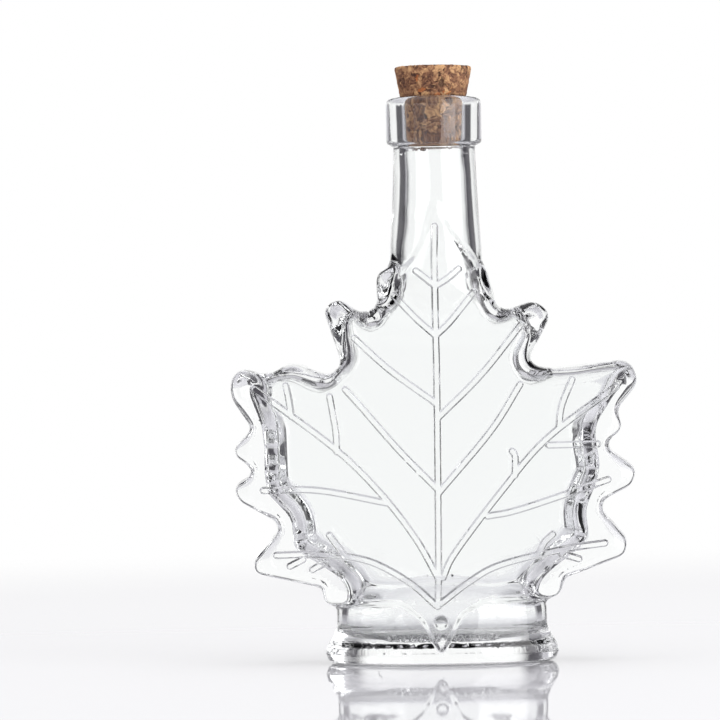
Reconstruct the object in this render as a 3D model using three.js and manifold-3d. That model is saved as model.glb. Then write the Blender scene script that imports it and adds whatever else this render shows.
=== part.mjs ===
// A clear glass bottle in the shape of a maple leaf, with a tapered cork in its neck.
// Millimetres, +Z up, the leaf spread along X, its veined front towards -Y.
// The origin is the centre of the foot's underside, below the neck's axis.

import * as THREE from "three";
import { mergeVertices } from "three/addons/utils/BufferGeometryUtils.js";
import Module from "manifold-3d";

const wasm = await Module();
wasm.setup();

// Leaf body: deep round shoulders along its upper edges, small ones round its teeth
const BODY_HALF_DEPTH = 13.8;
const SHOULDER_ROUNDING = { toothInset: 1.7, toothDepth: 2.3, upperInset: 5.5, upperDepth: 8 };
const SHOULDER_CHANGE = { from: 57, to: 66 };
const OUTLINE_POINTS = 160;

// Hollow: its sides are nearly half round, its upper edge is tighter
const WALL = 2.8;
const HOLLOW_ROUNDING = { toothInset: 7.5, toothDepth: 10.4, upperInset: 3, upperDepth: 4.5 };
const HOLLOW_POINTS = 84;
const BORE_RADIUS = 7.05;
const RIM_ROUND = 1.5;
const FLOOR_THICKNESS = 5.5;
const WELL_HALF_WIDTH = 22.2;
const WELL_FLATTENING = 0.51;

// Neck and collar
const NECK_BASE_RADIUS = 11.35;
const NECK_TOP_RADIUS = 9.95;
const COLLAR_RADIUS = 11.65;
const COLLAR_BOTTOM = 126;
const MOUTH_HEIGHT = 137.2;
const ROUND_SEGMENTS = 36;

// Oval foot
const FOOT_HALF_WIDTH = 28.4;
const WAIST_HALF_WIDTH = 25.5;
const FOOT_FLATTENING = 0.57;
const FOOT_SEGMENTS = 52;

// Raised ribs and the relief that carries them over neck and foot
const RIB_RADIUS = 0.85;
const RIB_SINK = 0.2;
const RIB_SIDES = 6;
const RELIEF_HEIGHT = 1.2;

// Cork
const CORK_TOP_RADIUS = 9.55;
const CORK_RIM_RADIUS = 8.2;
const CORK_GAP = 0.3;
const CORK_BOTTOM = 126.4;
const CORK_TOP = 144.9;

// Corners of the leaf's outline as [x, z, rounding], clockwise from the neck.
const LEAF_CORNERS = [
  [0, 96.4, 2],
  [12.4, 96.1, 2.4],
  [14.2, 87.8, 3.4],
  [16.1, 85.1, 2.9],
  [23.5, 87.6, 3.9],
  [28.1, 84.4, 3.4],
  [21.8, 72.6, 2.9],
  [26.1, 71, 7.3],
  [46.8, 73, 3.9],
  [48.7, 67, 3.9],
  [43.2, 60.5, 2.9],
  [45.1, 56.1, 3.2],
  [39.9, 52.3, 1.9],
  [48.2, 46.4, 4.5],
  [46.4, 42.2, 3.9],
  [38, 38, 2.4],
  [45.6, 29.6, 4.4],
  [44.6, 25.4, 3.4],
  [30.1, 20.1, 1.5],
  [28.8, 15.6, 3.2],
  [23, 15, 3],
  [0, 13.5, 6],
  [-22.6, 14, 3],
  [-28.4, 14.3, 3.2],
  [-29.1, 18.6, 1],
  [-45.6, 22.4, 3.4],
  [-45.2, 26.5, 2.9],
  [-38.1, 33.9, 2.4],
  [-48.6, 39.7, 4.7],
  [-50.4, 43.6, 2.7],
  [-44.7, 47.1, 1.5],
  [-51, 51.9, 2.4],
  [-45.5, 57.4, 1.7],
  [-51.1, 66, 7.3],
  [-49.2, 72.8, 3.9],
  [-40.9, 70.2, 7.3],
  [-35.5, 74, 4.9],
  [-26.3, 70, 3.4],
  [-23.3, 72.8, 2.9],
  [-27.9, 86.6, 2.9],
  [-23.5, 88.9, 3.2],
  [-18.7, 85.2, 3.4],
  [-14.5, 86.3, 2.4],
  [-14.7, 94.6, 3.4],
  [-11.2, 96.5, 4],
];

// Corners of the hollow inside, which follows the leaf more softly.
const HOLLOW_CORNERS = [
  [0, 95.2, 2],
  [9, 94.6, 3],
  [10.4, 89, 6],
  [13.4, 81.6, 4],
  [22.5, 84, 3],
  [24, 80.5, 3],
  [18.4, 73.6, 5],
  [21.4, 68.6, 5],
  [42.8, 69, 2.5],
  [41.8, 64, 4],
  [37.5, 56, 8],
  [39.2, 46, 5],
  [35, 36.5, 6],
  [36.4, 29.4, 3],
  [25, 22.5, 6],
  [18, 17.4, 6],
  [-18, 17.4, 6],
  [-25, 22.5, 6],
  [-36, 28.4, 3],
  [-35.6, 35.5, 6],
  [-42.2, 42, 5],
  [-42.8, 58, 8],
  [-46.8, 68.2, 2.5],
  [-42, 67.3, 6],
  [-35.5, 69.4, 5],
  [-27, 66, 5],
  [-20.3, 72.5, 6],
  [-24, 83.4, 2.8],
  [-21.5, 84.4, 2.5],
  [-16, 81.4, 4],
  [-11.4, 86, 5],
  [-10.4, 94, 3],
];

// Outline of the relief where the leaf's tip climbs the neck.
const TIP_CORNERS = [
  [0.4, 112.6, 0.8],
  [2.6, 107.6, 5],
  [4.6, 104.6, 8],
  [10, 98, 4],
  [11, 92, 2],
  [0, 86, 2],
  [-11, 92, 2],
  [-6.6, 98.4, 3],
  [-4.2, 102.6, 5],
  [-1.7, 109.6, 6],
];

// Outline of the relief where the leaf's base hangs over the foot.
const SKIRT_CORNERS = [
  [-25, 15.2, 2],
  [-9.5, 14.2, 4],
  [-5.2, 10.6, 3],
  [-1, 2.8, 1.2],
  [0.8, 3.2, 1.2],
  [5.4, 12, 4],
  [13, 15.8, 4],
  [25, 17, 2],
  [20, 22, 2],
  [-20, 22, 2],
];

// Centre lines of the ribs as [x, z].
const MAIN_RIB = [[-0.2, 105.6], [-0.4, 98], [-0.4, 90.5], [-0.3, 64], [-0.6, 25], [-0.9, 14.3]];
const SIDE_RIBS = [
  [[-0.3, 91.2], [-3, 93.4], [-4.9, 94.9]],
  [[-0.5, 79.3], [-5.3, 83.7], [-10.2, 89]],
  [[-0.6, 63], [-11.6, 71.2], [-20, 79]],
  [[-0.7, 42.5], [-9.5, 51.7], [-19.1, 63], [-22.3, 66.6]],
  [[-0.8, 21.1], [-6.2, 30.9], [-14.6, 42], [-25.3, 52.7], [-44, 67]],
  [[-24.6, 51.7], [-24.8, 56.8], [-26.1, 65]],
  [[-35.4, 60.4], [-35.9, 64.3], [-36.6, 67.8]],
  [[-12.6, 39.2], [-29.2, 42.5], [-42.4, 42.7]],
  [[-1.1, 14.3], [-7.6, 20], [-17.3, 25.3], [-28.2, 27.1], [-39.5, 27.1]],
  [[-23.1, 26.8], [-26.7, 31.7]],
  [[-33.1, 26], [-36.3, 24.4]],
  [[-27.8, 25.2], [-30.9, 23.5]],
  [[-0.1, 91.2], [2.6, 92.9], [5.4, 95.2]],
  [[-0.3, 79.3], [3.2, 82.6], [9, 89.6]],
  [[-0.1, 59.5], [10.3, 69.6], [20.2, 81.6]],
  [[-0.2, 41.5], [12.5, 56.2], [19.7, 67.2]],
  [[0.4, 21.1], [3.5, 27.1], [14.7, 41.5], [25.8, 54], [42.6, 66.3]],
  [[18.1, 45.4], [18.2, 50], [17.5, 51.2]],
  [[28.8, 56.6], [29.6, 62], [32.2, 68.2]],
  [[26.3, 52.5], [38, 52.6]],
  [[11.4, 35.7], [19.5, 37.3], [40.4, 44]],
  [[31.5, 41.5], [33.7, 46.1]],
  [[-0.2, 15], [7, 20.2], [14.4, 24], [29, 27.4], [39.4, 28.8]],
  [[23.7, 26.8], [24.9, 29.2], [26.9, 31.1]],
  [[29, 26.4], [33.1, 25.1]],
];
const KNOT = { x: -0.2, z: 10.3, radius: 1.6 };

// Front surface of the leaf as [distance from the axis, z]: over the foot, and up the neck.
const BASE_PROFILE = [[15.8, 11], [15.3, 14.5], [14.3, 18], [13.8, 21]];
const TIP_PROFILE = [[13.8, 80], [13.8, 92], [13.3, 97], [12.4, 102], [11.5, 108], [10.8, 113]];
const FRONT_PROFILE = [...BASE_PROFILE, ...TIP_PROFILE];

// Turn a list of corners into an evenly stepped anticlockwise loop with round corners.
function roundedLoop(corners, count) {
  const path = new THREE.Path();
  corners.forEach(([x, z, radius], index) => {
    const before = corners[(index + corners.length - 1) % corners.length];
    const after = corners[(index + 1) % corners.length];
    const corner = new THREE.Vector2(x, z);
    const back = new THREE.Vector2(before[0], before[1]).sub(corner);
    const ahead = new THREE.Vector2(after[0], after[1]).sub(corner);
    const half = back.angleTo(ahead) / 2;
    const room = Math.min(back.length(), ahead.length()) / 2;
    const reach = Math.min(radius / Math.tan(half), room);
    const round = reach * Math.tan(half);
    const turnsLeft = ahead.cross(back) > 0;
    back.normalize();
    ahead.normalize();
    const start = corner.clone().addScaledVector(back, reach);
    const end = corner.clone().addScaledVector(ahead, reach);
    const middle = back.clone().add(ahead).normalize();
    const centre = corner.clone().addScaledVector(middle, Math.hypot(reach, round));
    const from = Math.atan2(start.y - centre.y, start.x - centre.x);
    const to = Math.atan2(end.y - centre.y, end.x - centre.x);
    path.absarc(centre.x, centre.y, round, from, to, !turnsLeft);
  });
  path.closePath();
  const loop = path.getSpacedPoints(count).slice(0, count);
  return THREE.ShapeUtils.isClockWise(loop) ? loop.reverse() : loop;
}

// Direction along a loop at each of its points.
function tangents(points) {
  const count = points.length;
  return points.map((point, index) => {
    const before = points[(index + count - 1) % count];
    const after = points[(index + 1) % count];
    return after.clone().sub(before).normalize();
  });
}

// Even out the spacing along a loop, and soften its shape very slightly.
function easeLoop(points) {
  const count = points.length;
  const along = tangents(points);
  return points.map((point, index) => {
    const before = points[(index + count - 1) % count];
    const after = points[(index + 1) % count];
    const pull = before.clone().add(after).multiplyScalar(0.5).sub(point);
    const slide = along[index].clone().multiplyScalar(along[index].dot(pull));
    const soften = pull.clone().sub(slide);
    return point.clone().addScaledVector(slide, 0.5).addScaledVector(soften, 0.02);
  });
}

// Move each point of a loop inwards by its own distance, in small steps,
// so that the loop's narrow tips melt away without crossing.
function insetLoop(loop, distances) {
  const steps = Math.ceil(Math.max(...distances) / 0.1);
  let points = loop.map((point) => point.clone());
  for (let step = 0; step < steps; step += 1) {
    const along = tangents(points);
    points = points.map((point, index) => {
      const inward = new THREE.Vector2(-along[index].y, along[index].x);
      return point.clone().addScaledVector(inward, distances[index] / steps);
    });
    points = easeLoop(easeLoop(points));
  }
  return points;
}

// Six times the signed volume of an indexed mesh.
function signedVolume(positions, index) {
  const a = new THREE.Vector3();
  const b = new THREE.Vector3();
  const c = new THREE.Vector3();
  let total = 0;
  for (let i = 0; i < index.length; i += 3) {
    a.fromArray(positions, index[i] * 3);
    b.fromArray(positions, index[i + 1] * 3);
    c.fromArray(positions, index[i + 2] * 3);
    total += a.dot(b.cross(c));
  }
  return total;
}

// Make a solid from a geometry: corners merged, flat slivers dropped, faces turned outwards.
function solidFrom(geometry) {
  const bare = geometry.clone();
  bare.deleteAttribute("normal");
  bare.deleteAttribute("uv");
  const merged = mergeVertices(bare, 1e-4);
  const positions = Float32Array.from(merged.attributes.position.array);
  const source = merged.index.array;
  const index = [];
  for (let i = 0; i < source.length; i += 3) {
    const [a, b, c] = [source[i], source[i + 1], source[i + 2]];
    if (a !== b && b !== c && c !== a) {
      index.push(a, b, c);
    }
  }
  if (signedVolume(positions, index) < 0) {
    index.reverse();
  }
  const mesh = new wasm.Mesh({ numProp: 3, vertProperties: positions, triVerts: Uint32Array.from(index) });
  return new wasm.Manifold(mesh);
}

// A slab with the loop's outline and quarter-round shoulders on both faces,
// which grow from the teeth's rounding to that of the upper edges.
function roundedSlab(loop, halfDepth, rounding, arcSteps) {
  const upper = loop.map((point) => {
    return THREE.MathUtils.smoothstep(point.y, SHOULDER_CHANGE.from, SHOULDER_CHANGE.to);
  });
  const insets = upper.map((share) => THREE.MathUtils.lerp(rounding.toothInset, rounding.upperInset, share));
  const shoulders = upper.map((share) => {
    return THREE.MathUtils.lerp(rounding.toothDepth, rounding.upperDepth, share);
  });
  const rings = [];
  let ring = loop;
  let reached = 0;
  for (let step = 0; step <= arcSteps; step += 1) {
    const angle = (step / arcSteps) * (Math.PI / 2);
    const wanted = 1 - Math.cos(angle);
    if (wanted > reached) {
      const share = wanted - reached;
      ring = insetLoop(ring, insets.map((inset) => inset * share));
      reached = wanted;
    }
    rings.push({ ring, depths: shoulders.map((depth) => halfDepth - depth * (1 - Math.sin(angle))) });
  }
  const layers = [
    ...rings.slice().reverse().map((layer) => ({ ...layer, side: 1 })),
    ...rings.map((layer) => ({ ...layer, side: -1 })),
  ];
  const count = loop.length;
  const positions = layers.flatMap((layer) => {
    return layer.ring.flatMap((point, i) => [point.x, layer.side * layer.depths[i], point.y]);
  });
  const index = [];
  for (let layer = 0; layer + 1 < layers.length; layer += 1) {
    for (let i = 0; i < count; i += 1) {
      const next = (i + 1) % count;
      const a = layer * count + i;
      const b = layer * count + next;
      const c = (layer + 1) * count + i;
      const d = (layer + 1) * count + next;
      index.push(a, b, c, b, d, c);
    }
  }
  const cap = THREE.ShapeUtils.triangulateShape(layers[0].ring, []);
  const last = (layers.length - 1) * count;
  cap.forEach(([a, b, c]) => {
    index.push(a, c, b);
    index.push(last + a, last + b, last + c);
  });
  const geometry = new THREE.BufferGeometry();
  geometry.setAttribute("position", new THREE.Float32BufferAttribute(positions, 3));
  geometry.setIndex(index);
  return solidFrom(geometry);
}

// A solid of revolution about +Z from [radius, z] points, flattened along Y if wished.
function turned(profile, segments, flattening = 1) {
  const geometry = new THREE.LatheGeometry(profile.map(([r, z]) => new THREE.Vector2(r, z)), segments);
  geometry.rotateX(Math.PI / 2);
  geometry.scale(1, flattening, 1);
  return solidFrom(geometry);
}

// A straight prism of an X-Z outline, running from one Y to another.
function prism(loop, fromY, toY) {
  const geometry = new THREE.ExtrudeGeometry(new THREE.Shape(loop), {
    depth: toY - fromY,
    bevelEnabled: false,
  });
  geometry.rotateX(Math.PI / 2);
  geometry.translate(0, toY, 0);
  return solidFrom(geometry);
}

// Distance of the leaf's front surface from the neck's axis plane at a given height.
function frontDepth(z) {
  for (let i = 0; i + 1 < FRONT_PROFILE.length; i += 1) {
    const [r0, z0] = FRONT_PROFILE[i];
    const [r1, z1] = FRONT_PROFILE[i + 1];
    if (z <= z1) {
      return r0 + ((r1 - r0) * (z - z0)) / (z1 - z0);
    }
  }
  return FRONT_PROFILE[FRONT_PROFILE.length - 1][0];
}

// A raised rib along [x, z] points on the leaf's front.
function rib(points) {
  const curve = new THREE.CatmullRomCurve3(
    points.map(([x, z]) => new THREE.Vector3(x, -frontDepth(z) + RIB_SINK, z)),
  );
  const section = new THREE.Shape();
  for (let side = 0; side < RIB_SIDES; side += 1) {
    const angle = ((side + 0.5) / RIB_SIDES) * Math.PI * 2;
    const x = RIB_RADIUS * Math.cos(angle);
    const y = RIB_RADIUS * Math.sin(angle);
    if (side === 0) {
      section.moveTo(x, y);
    } else {
      section.lineTo(x, y);
    }
  }
  section.closePath();
  const steps = points.length === 2 ? 1 : Math.max(3, Math.round(curve.getLength() / 7));
  return solidFrom(new THREE.ExtrudeGeometry(section, { steps, extrudePath: curve }));
}

// Turn a finished solid back into a geometry.
function geometryFrom(solid) {
  const mesh = solid.getMesh();
  const geometry = new THREE.BufferGeometry();
  geometry.setAttribute("position", new THREE.Float32BufferAttribute(Float32Array.from(mesh.vertProperties), 3));
  geometry.setIndex(Array.from(mesh.triVerts));
  geometry.computeVertexNormals();
  return geometry;
}

const footProfile = [
  [0, 0],
  [FOOT_HALF_WIDTH - 1.9, 0],
  [FOOT_HALF_WIDTH - 0.6, 0.9],
  [FOOT_HALF_WIDTH, 2.6],
  [FOOT_HALF_WIDTH - 0.5, 4.4],
  [FOOT_HALF_WIDTH - 1.9, 6.4],
  [WAIST_HALF_WIDTH, 8.6],
  [WAIST_HALF_WIDTH, 13],
  [WAIST_HALF_WIDTH - 1, 17],
  [WAIST_HALF_WIDTH - 4, 22],
  [0, 24],
];

const neckProfile = [
  [0, 86],
  [14.2, 90],
  [12.4, 93.6],
  [NECK_BASE_RADIUS, 97],
  [11.1, 101.2],
  [10.5, 111],
  [NECK_TOP_RADIUS + 0.1, 121],
  [NECK_TOP_RADIUS, COLLAR_BOTTOM - 0.6],
  [COLLAR_RADIUS - 0.8, COLLAR_BOTTOM],
  [COLLAR_RADIUS - 0.2, COLLAR_BOTTOM + 0.6],
  [COLLAR_RADIUS, COLLAR_BOTTOM + 1.6],
  [COLLAR_RADIUS, MOUTH_HEIGHT - RIM_ROUND],
  [COLLAR_RADIUS - 0.4, MOUTH_HEIGHT - 0.5],
  [COLLAR_RADIUS - RIM_ROUND, MOUTH_HEIGHT],
  [0, MOUTH_HEIGHT],
];

const boreProfile = [
  [0, 84],
  [8.6, 84],
  [8.6, 94],
  [8.1, 101.2],
  [7.5, 115],
  [BORE_RADIUS, 125],
  [BORE_RADIUS, MOUTH_HEIGHT - RIM_ROUND],
  [BORE_RADIUS + 0.45, MOUTH_HEIGHT - 0.45],
  [BORE_RADIUS + RIM_ROUND, MOUTH_HEIGHT],
  [BORE_RADIUS + RIM_ROUND, MOUTH_HEIGHT + 2],
  [0, MOUTH_HEIGHT + 2],
];

const wellProfile = [
  [0, FLOOR_THICKNESS],
  [WELL_HALF_WIDTH - 8, FLOOR_THICKNESS + 0.1],
  [WELL_HALF_WIDTH - 2.6, FLOOR_THICKNESS + 1],
  [WELL_HALF_WIDTH - 0.5, FLOOR_THICKNESS + 3],
  [WELL_HALF_WIDTH, 13],
  [WELL_HALF_WIDTH - 0.9, 18],
  [WELL_HALF_WIDTH - 3.2, 24],
  [0, 26],
];

const corkProfile = [
  [0, CORK_BOTTOM],
  [6.3, CORK_BOTTOM],
  [BORE_RADIUS - CORK_GAP, CORK_BOTTOM + 0.6],
  [BORE_RADIUS - CORK_GAP, MOUTH_HEIGHT - 1.2],
  [BORE_RADIUS + 0.2, MOUTH_HEIGHT - 0.05],
  [CORK_RIM_RADIUS, MOUTH_HEIGHT + 0.4],
  [CORK_TOP_RADIUS, CORK_TOP - 0.5],
  [CORK_TOP_RADIUS - 0.4, CORK_TOP],
  [0, CORK_TOP],
];

// The leaf-shaped body stands on its foot and carries the neck.
const body = roundedSlab(roundedLoop(LEAF_CORNERS, OUTLINE_POINTS), BODY_HALF_DEPTH, SHOULDER_ROUNDING, 4);
const foot = turned(footProfile, FOOT_SEGMENTS, FOOT_FLATTENING);
const neck = turned(neckProfile, ROUND_SEGMENTS);

// The leaf's tip lies on the neck, and its base on the foot, as low reliefs.
const tipSurface = turned([[0, 80], ...TIP_PROFILE, [0, 113]], ROUND_SEGMENTS);
const tip = prism(roundedLoop(TIP_CORNERS, 40), -20, -2).intersect(tipSurface);
const reliefWidth = WAIST_HALF_WIDTH + RELIEF_HEIGHT;
const skirtSurface = turned(
  [
    [0, 1],
    [FOOT_HALF_WIDTH + 0.4, 3],
    [FOOT_HALF_WIDTH - 0.2, 6],
    [reliefWidth, 9],
    [reliefWidth - 0.2, 12],
    [reliefWidth - 1.9, 17],
    [reliefWidth - 3.6, 20.5],
    [0, 22.5],
  ],
  FOOT_SEGMENTS,
  FOOT_FLATTENING + 0.025,
);
const skirt = prism(roundedLoop(SKIRT_CORNERS, 48), -20, -2).intersect(skirtSurface);

const knotGeometry = new THREE.SphereGeometry(KNOT.radius, 10, 6);
knotGeometry.translate(KNOT.x, -reliefWidth * (FOOT_FLATTENING + 0.025), KNOT.z);

let glass = body.add(foot).add(neck).add(tip).add(skirt).add(solidFrom(knotGeometry));
[MAIN_RIB, ...SIDE_RIBS].forEach((points) => {
  glass = glass.add(rib(points));
});

// The hollow: a softer leaf, a well in the foot and the bore up through the neck.
const hollow = roundedSlab(
  roundedLoop(HOLLOW_CORNERS, HOLLOW_POINTS),
  BODY_HALF_DEPTH - WALL,
  HOLLOW_ROUNDING,
  3,
);
const well = turned(wellProfile, ROUND_SEGMENTS, WELL_FLATTENING);
const bore = turned(boreProfile, ROUND_SEGMENTS);
glass = glass.subtract(hollow.add(well).add(bore));

const glassMaterial = new THREE.MeshStandardMaterial({
  color: 0xf2f6f5,
  roughness: 0.03,
  metalness: 0,
  transparent: true,
  opacity: 0.35,
});
const bottle = new THREE.Mesh(geometryFrom(glass), glassMaterial);
bottle.name = "bottle";

const corkMaterial = new THREE.MeshStandardMaterial({
  color: 0x9c7549,
  roughness: 0.9,
  metalness: 0,
});
const cork = new THREE.Mesh(geometryFrom(turned(corkProfile, ROUND_SEGMENTS)), corkMaterial);
cork.name = "cork";

const mapleLeafBottle = new THREE.Group();
mapleLeafBottle.add(bottle, cork);

export default mapleLeafBottle;
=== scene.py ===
"""Looks for a clear glass maple leaf bottle with a cork: its glass, its cork, the table and the light."""

import math

import bpy
import numpy as np
import openvdb
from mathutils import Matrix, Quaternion, Vector


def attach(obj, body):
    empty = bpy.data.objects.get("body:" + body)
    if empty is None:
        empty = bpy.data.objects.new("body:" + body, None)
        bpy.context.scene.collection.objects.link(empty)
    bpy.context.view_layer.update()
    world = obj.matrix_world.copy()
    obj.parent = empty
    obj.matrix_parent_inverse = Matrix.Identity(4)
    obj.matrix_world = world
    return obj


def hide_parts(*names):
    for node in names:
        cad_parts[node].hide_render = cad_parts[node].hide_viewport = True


bl_info = {
    "name": "Maple leaf bottle",
    "version": (1, 0, 0),
    "blender": (4, 5, 0),
    "location": "View3D > Sidebar > Leaf bottle",
    "description": "Builds a clear glass leaf-shaped bottle, its cork and a pale studio around it",
    "category": "Object",
}

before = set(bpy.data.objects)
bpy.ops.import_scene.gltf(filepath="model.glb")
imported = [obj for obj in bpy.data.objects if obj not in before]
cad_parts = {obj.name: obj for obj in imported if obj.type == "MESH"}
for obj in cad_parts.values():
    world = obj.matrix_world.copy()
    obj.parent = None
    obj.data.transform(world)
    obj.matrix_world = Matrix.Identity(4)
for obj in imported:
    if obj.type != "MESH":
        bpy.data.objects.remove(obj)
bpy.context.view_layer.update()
MM = 0.001

# Leaf outline as (x, z, rounding) corners in millimetres, clockwise from the neck.
LEAF_CORNERS = [
    (0, 96.4, 2),
    (12.4, 96.1, 2.4),
    (14.2, 87.8, 3.4),
    (16.1, 85.1, 2.9),
    (23.5, 87.6, 3.9),
    (28.1, 84.4, 3.4),
    (21.8, 72.6, 2.9),
    (26.1, 71, 7.3),
    (46.8, 73, 3.9),
    (48.7, 67, 3.9),
    (43.2, 60.5, 2.9),
    (45.1, 56.1, 3.2),
    (39.9, 52.3, 1.9),
    (48.2, 46.4, 4.5),
    (46.4, 42.2, 3.9),
    (38, 38, 2.4),
    (45.6, 29.6, 4.4),
    (44.6, 25.4, 3.4),
    (30.1, 20.1, 1.5),
    (28.8, 15.6, 3.2),
    (23, 15, 3),
    (0, 13.5, 6),
    (-23.2, 14.3, 3),
    (-28.6, 14.4, 3.2),
    (-29.1, 18.6, 1),
    (-45.6, 22.4, 3.4),
    (-45.2, 26.5, 2.9),
    (-38.1, 33.9, 2.4),
    (-48.6, 39.7, 4.7),
    (-50.4, 43.6, 2.7),
    (-44.7, 47.1, 1.5),
    (-51, 51.9, 2.4),
    (-45.5, 57.4, 1.7),
    (-51.1, 66, 7.3),
    (-49.2, 72.8, 3.9),
    (-40.9, 70.2, 7.3),
    (-35.5, 74, 4.9),
    (-26.3, 70, 3.4),
    (-23.3, 72.8, 2.9),
    (-27.9, 86.6, 2.9),
    (-23.5, 88.9, 3.2),
    (-18.7, 85.2, 3.4),
    (-14.5, 86.3, 2.4),
    (-14.7, 94.6, 3.4),
    (-11.2, 96.5, 4),
]

# Outline of the hollow inside the leaf.
HOLLOW_CORNERS = [
    (-6.3, 110, 1),
    (6.3, 110, 1),
    (7.9, 101, 6),
    (9.7, 91.5, 8),
    (13.3, 81.9, 4),
    (20.4, 84.6, 2.2),
    (22.4, 81, 3),
    (18.4, 73.6, 5),
    (21.4, 68.6, 5),
    (33, 69.2, 8),
    (45.2, 71, 2),
    (46.4, 69, 2),
    (42, 63.6, 5),
    (37.5, 56, 8),
    (39.2, 46, 5),
    (35, 36.5, 6),
    (36.4, 29.4, 3),
    (27.4, 22.8, 4),
    (23.4, 18.8, 3),
    (22, 14, 3),
    (-22, 14, 3),
    (-22.4, 18.6, 3),
    (-26.4, 22.4, 4),
    (-36, 28.4, 3),
    (-35.6, 35.5, 6),
    (-42.2, 42, 5),
    (-42.8, 58, 8),
    (-47.2, 69, 1.8),
    (-42, 68.1, 6),
    (-35.5, 70.4, 5),
    (-27, 66.8, 5),
    (-20.3, 72.5, 6),
    (-22.8, 83.9, 2.4),
    (-20.6, 84.9, 2.2),
    (-16, 80.8, 4),
    (-10.9, 87.6, 6),
    (-8.1, 101, 8),
]

# The leaf's tip where it climbs the front of the neck.
TIP_CORNERS = [
    (0.4, 114.5, 0.8),
    (2.6, 108.4, 5),
    (4.6, 105, 8),
    (10.4, 98, 4),
    (12.4, 92, 2),
    (0, 80, 2),
    (-12.4, 92, 2),
    (-6.6, 98.4, 3),
    (-4.2, 102.6, 5),
    (-1.7, 110.8, 6),
]

# Where the hollow pushes forward behind the leaf's tip.
TIP_HOLLOW_CORNERS = [
    (0.9, 108, 0.8),
    (3.3, 104.3, 6),
    (5.9, 98.9, 8),
    (8.3, 95.1, 6),
    (11, 92.6, 2),
    (14, 82, 2),
    (-14, 82, 2),
    (-11, 93.4, 2),
    (-5.9, 95.4, 3),
    (-3.9, 98.6, 5),
    (-1.4, 105, 6),
]

# The leaf's base where it hangs over the front of the foot.
SKIRT_CORNERS = [
    (-25, 15.2, 2),
    (-9.5, 14.2, 4),
    (-5.2, 10.6, 3),
    (-1, 2.8, 1.2),
    (0.8, 3.2, 1.2),
    (5.4, 12, 4),
    (13, 15.8, 4),
    (25, 17, 2),
    (20, 22, 2),
    (-20, 22, 2),
]

# Centre lines of the veins as (x, z) points.
VEINS = [
    [(-0.2, 105.6), (-0.4, 98), (-0.4, 90.5), (-0.3, 64), (-0.6, 25), (-0.9, 14.3)],
    [(-0.3, 91.2), (-3, 93.4), (-4.9, 94.9)],
    [(-0.5, 79.3), (-5.3, 83.7), (-10.2, 89)],
    [(-0.6, 63), (-11.6, 71.2), (-20, 79)],
    [(-0.7, 42.5), (-9.5, 51.7), (-19.1, 63), (-22.3, 66.6)],
    [(-0.8, 21.1), (-6.2, 30.9), (-14.6, 42), (-25.3, 52.7), (-44, 67)],
    [(-24.6, 51.7), (-24.8, 56.8), (-26.1, 65)],
    [(-35.4, 60.4), (-35.9, 64.3), (-36.6, 67.8)],
    [(-12.6, 39.2), (-29.2, 42.5), (-42.4, 42.7)],
    [(-1.1, 14.3), (-7.6, 20), (-17.3, 25.3), (-28.2, 27.1), (-39.5, 27.1)],
    [(-23.1, 26.8), (-26.7, 31.7)],
    [(-33.1, 26), (-36.3, 24.4)],
    [(-27.8, 25.2), (-30.9, 23.5)],
    [(-0.1, 91.2), (2.6, 92.9), (5.4, 95.2)],
    [(-0.3, 79.3), (3.2, 82.6), (9, 89.6)],
    [(-0.1, 59.5), (10.3, 69.6), (20.2, 81.6)],
    [(-0.2, 41.5), (12.5, 56.2), (19.7, 67.2)],
    [(0.4, 21.1), (3.5, 27.1), (14.7, 41.5), (25.8, 54), (42.6, 66.3)],
    [(18.1, 45.4), (18.2, 50), (17.5, 51.2)],
    [(28.8, 56.6), (29.6, 62), (32.2, 68.2)],
    [(26.3, 52.5), (38, 52.6)],
    [(11.4, 35.7), (19.5, 37.3), (40.4, 44)],
    [(31.5, 41.5), (33.7, 46.1)],
    [(-0.2, 15), (7, 20.2), (14.4, 24), (29, 27.4), (39.4, 28.8)],
    [(23.7, 26.8), (24.9, 29.2), (26.9, 31.1)],
    [(29, 26.4), (33.1, 25.1)],
]

# Turned sections as (radius, z) points in millimetres.
NECK_SECTION = [
    (0, 80),
    (10.2, 80),
    (11.2, 92),
    (11.35, 97),
    (11.1, 101.2),
    (10.5, 111),
    (10.05, 121),
    (9.95, 125.4),
    (10.5, 125.7),
    (11.35, 125.9),
    (11.65, 126.7),
    (11.65, 135.7),
    (11.35, 136.7),
    (10.3, 137.2),
    (0, 137.2),
]
BORE_SECTION = [
    (0, 84),
    (8.4, 84),
    (8.4, 94),
    (7.9, 101.2),
    (7.35, 115),
    (7.1, 125),
    (7.35, 135.7),
    (7.7, 136.75),
    (8.6, 137.2),
    (8.6, 141),
    (0, 141),
]
FOOT_SECTION = [
    (0, 0),
    (26.4, 0),
    (27.7, 0.7),
    (28.4, 2.4),
    (28.0, 4.3),
    (26.6, 6.5),
    (25.6, 8.8),
    (25.5, 13),
    (24.6, 17),
    (21.5, 22),
    (0, 24),
]
WELL_SECTION = [
    (0, 5),
    (16.5, 5),
    (20.8, 5.5),
    (22.5, 7.2),
    (23, 10),
    (23, 12.4),
    (22.2, 16.5),
    (19.6, 23),
    (0, 26),
]

# How far the tip stands off the neck as (z, rise) points.
TIP_RISE = [(80, 2.4), (92, 2.4), (97, 1.9), (102, 1.35), (108, 0.8), (114, 0.3)]

# The foot and the well inside it are round sections, flattened from front to back.
FOOT_FLATTENING = 0.57
WELL_FLATTENING = 0.51

# Between these distances from the middle, the change to deep shoulders moves higher up.
FAR_LOBE = (38, 45)

# Where the leaf's stalk meets the foot.
KNOT_PLACE = (-0.2, -15.3, 10.3)
KNOT_RADIUS = 1.5

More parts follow.
